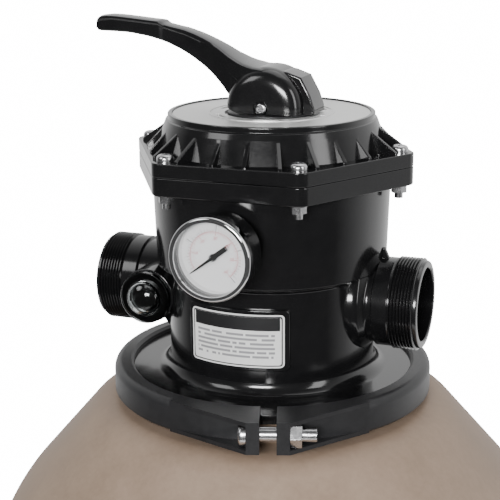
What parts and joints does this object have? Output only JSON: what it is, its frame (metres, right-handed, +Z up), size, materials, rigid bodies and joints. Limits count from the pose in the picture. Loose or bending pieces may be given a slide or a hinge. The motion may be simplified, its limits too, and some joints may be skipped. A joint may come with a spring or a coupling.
{
  "type": "sand filter tank",
  "caption": "Top-mount sand filter: round moulded tank on a base skirt, with a clamped selector valve, lever handle, pressure gauge, sight glass and threaded ports.",
  "frame": {"origin": "centre of the base foot ring, on the floor", "axes": "+Z up; -Y towards the front, where the gauge and label face; ports along +X, -X and +Y; handle along -X"},
  "size_m": [0.45, 0.4498, 0.8968],
  "materials": {
    "tank_plastic": "beige moulded tank plastic with faint mottling",
    "base_plastic": "black moulded base plastic",
    "clamp_plastic": "black glass-filled plastic with a fine satin grain",
    "stainless": "stainless fasteners",
    "valve_plastic": "glossy black moulded plastic",
    "silver_plate": "satin silver position plate",
    "inner_plastic": "off-white internal plastic",
    "lateral_plastic": "dark slotted laterals",
    "rubber": "black seal rubber",
    "gauge_black": "black gauge case",
    "bezel_chrome": "bright bezel ring",
    "gauge_lens": "clear flat window",
    "dial_white": "white printed dial",
    "pointer_black": "black pointer",
    "brass": "brass stem, movement and tube",
    "sight_clear": "clear moulded sight glass",
    "label_paper": "white printed label"
  },
  "bodies": {
    "filter": {"tank_shell": "tank_plastic", "tank_base": "base_plastic", "tank_o_ring": "rubber", "clamp_half_left": "clamp_plastic", "clamp_half_right": "clamp_plastic", "clamp_bolts": "stainless", "clamp_nuts": "stainless", "valve_body": "valve_plastic", "valve_cover": "valve_plastic", "cover_o_ring": "rubber", "cover_screws": "stainless", "cover_washers": "stainless", "cover_nuts": "stainless", "position_plate": "silver_plate", "spider_gasket": "rubber", "rotor_spring": "stainless", "spring_washer": "stainless", "gauge_case": "gauge_black", "gauge_bezel": "bezel_chrome", "gauge_lens": "gauge_lens", "gauge_dial": "dial_white", "gauge_stem": "brass", "gauge_movement": "brass", "gauge_tube": "brass", "sight_glass": "sight_clear", "sight_glass_o_ring": "rubber", "front_label": "label_paper", "standpipe": "inner_plastic", "diffuser": "inner_plastic", "lateral_hub": "inner_plastic", "lateral_1": "lateral_plastic", "lateral_2": "lateral_plastic", "lateral_3": "lateral_plastic", "lateral_4": "lateral_plastic", "lateral_5": "lateral_plastic", "lateral_6": "lateral_plastic", "lateral_7": "lateral_plastic", "lateral_8": "lateral_plastic", "drain_spigot": "clamp_plastic", "drain_gasket": "rubber", "drain_nut": "clamp_plastic", "drain_screen": "inner_plastic"},
    "selector": {"index_washer": "clamp_plastic"},
    "rotor": {"rotor": "inner_plastic", "shaft": "inner_plastic", "shaft_o_rings": "rubber"},
    "handle": {"handle": "valve_plastic", "handle_pin": "stainless", "handle_pin_nut": "stainless"},
    "pointer": {"gauge_pointer": "pointer_black"},
    "drain_seal": {"drain_cap_washer": "rubber"},
    "drain_cap": {"drain_cap": "clamp_plastic"}
  },
  "joints": [
    {"name": "selector_turn", "type": "hinge", "parent": "filter", "child": "selector", "pos_m": [0, 0, 0.829], "axis": [0, 0, 1], "continuous": true},
    {"name": "rotor_lift", "type": "slide", "parent": "selector", "child": "rotor", "axis": [0, 0, 1], "range_m": [0, 0.0055], "stiffness_N_per_m": 20000, "springref_m": -0.01, "deforming": ["rotor_spring"]},
    {"name": "handle_press", "type": "hinge", "parent": "rotor", "child": "handle", "pos_m": [0, 0, 0.8344], "axis": [0, -1, 0], "range_deg": [0, 18.05]},
    {"name": "gauge_needle", "type": "hinge", "parent": "filter", "child": "pointer", "pos_m": [0, -0.1176, 0.75], "axis": [0, 1, 0], "range_deg": [0, 265], "stiffness_Nm_per_rad": 0.002, "springref_deg": -11.46},
    {"name": "drain_cap_slide", "type": "slide", "parent": "filter", "child": "drain_seal", "axis": [0, -1, 0], "range_m": [0, 0.006]},
    {"name": "drain_cap_turn", "type": "hinge", "parent": "drain_seal", "child": "drain_cap", "pos_m": [0, -0.21, 0.128], "axis": [0, -1, 0], "range_deg": [0, 720.1]}
  ],
  "couplings": [
    {"joint": "handle_press", "follows": "rotor_lift", "rad_per_m": 57.12},
    {"joint": "drain_cap_turn", "follows": "drain_cap_slide", "rad_per_m": 2094.4}
  ]
}
